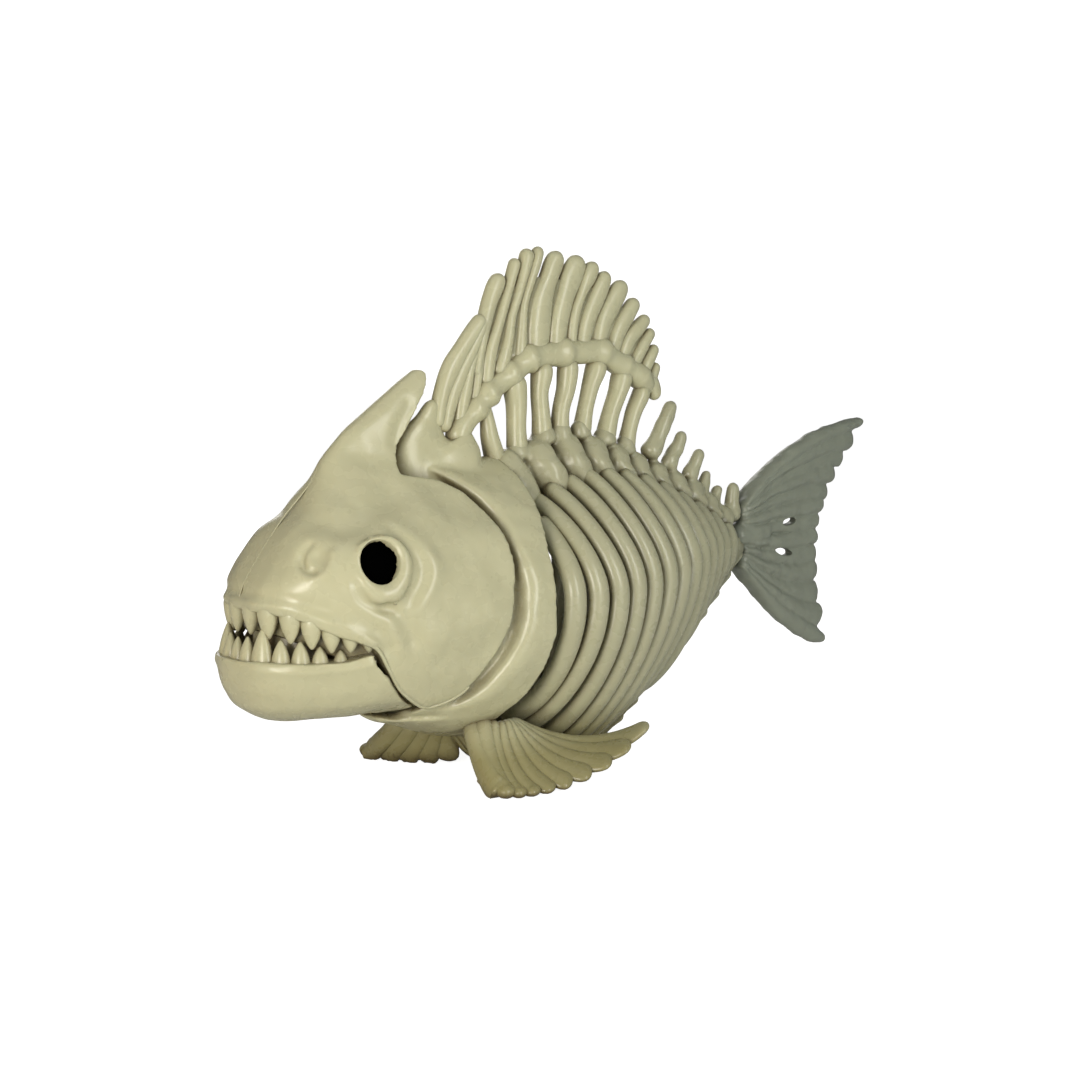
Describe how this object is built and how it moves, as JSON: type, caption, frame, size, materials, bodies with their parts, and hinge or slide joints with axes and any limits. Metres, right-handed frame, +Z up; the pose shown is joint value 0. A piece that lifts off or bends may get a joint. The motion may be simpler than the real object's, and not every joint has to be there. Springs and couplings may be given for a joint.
{
  "type": "fish skeleton",
  "caption": "Standing moulded fish skeleton decoration: gaping toothed head, collar, vertebrae, curved ribs on a belly keel, ridged dorsal, breast and tail fins.",
  "frame": {"origin": "on the floor, under the middle of the bounding box", "axes": "+Z up, the snout points to -X and the tail to +X, the fish's left side faces -Y"},
  "size_m": [0.3306, 0.105, 0.2021],
  "materials": {
    "bone_plastic": "satin moulded bone colour",
    "bone_plastic_shade": "satin moulded bone colour, greyer",
    "tail_plastic": "satin moulded grey",
    "black_eye": "matt black"
  },
  "bodies": {
    "root": {"skull": "bone_plastic", "lower_jaw": "bone_plastic", "eye_left": "black_eye", "eye_right": "black_eye", "shoulder_girdle": "bone_plastic", "spine": "bone_plastic_shade", "ribs_left": "bone_plastic_shade", "ribs_right": "bone_plastic_shade", "dorsal_fin": "bone_plastic_shade", "pectoral_fin_left": "bone_plastic_shade", "pectoral_fin_right": "bone_plastic_shade", "tail_fin": "tail_plastic"}
  },
  "joints": []
}
